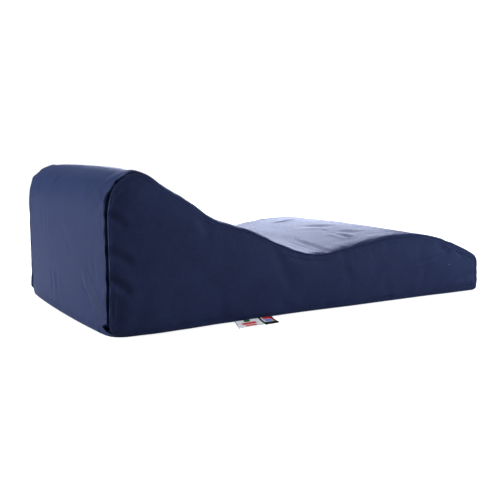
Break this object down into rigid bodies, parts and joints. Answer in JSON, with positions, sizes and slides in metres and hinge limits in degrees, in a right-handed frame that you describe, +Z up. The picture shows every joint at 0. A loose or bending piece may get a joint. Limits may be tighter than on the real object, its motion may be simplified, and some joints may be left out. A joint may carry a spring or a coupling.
{
  "type": "cervical traction pillow",
  "caption": "Foam neck pillow with a tall end, a long slope to a shallow valley and a low hump, in a tight sewn navy cover with small labels in the near bottom seam.",
  "frame": {"origin": "centre of the flat base, midway between the two ends' edges and the two sides, at the height of the surface it rests on", "axes": "+Z up; +X from the tall end to the low end; -Y towards the side with the labels"},
  "size_m": [0.609, 0.3669, 0.199],
  "materials": {
    "navy_cover": "plain woven cloth, matt with a faint sheen",
    "label_pale": "woven ribbon, satin",
    "label_edged": "woven ribbon, satin"
  },
  "bodies": {
    "root": {"pillow_body": "navy_cover", "label_pale": "label_pale", "label_edged": "label_edged"}
  },
  "joints": []
}
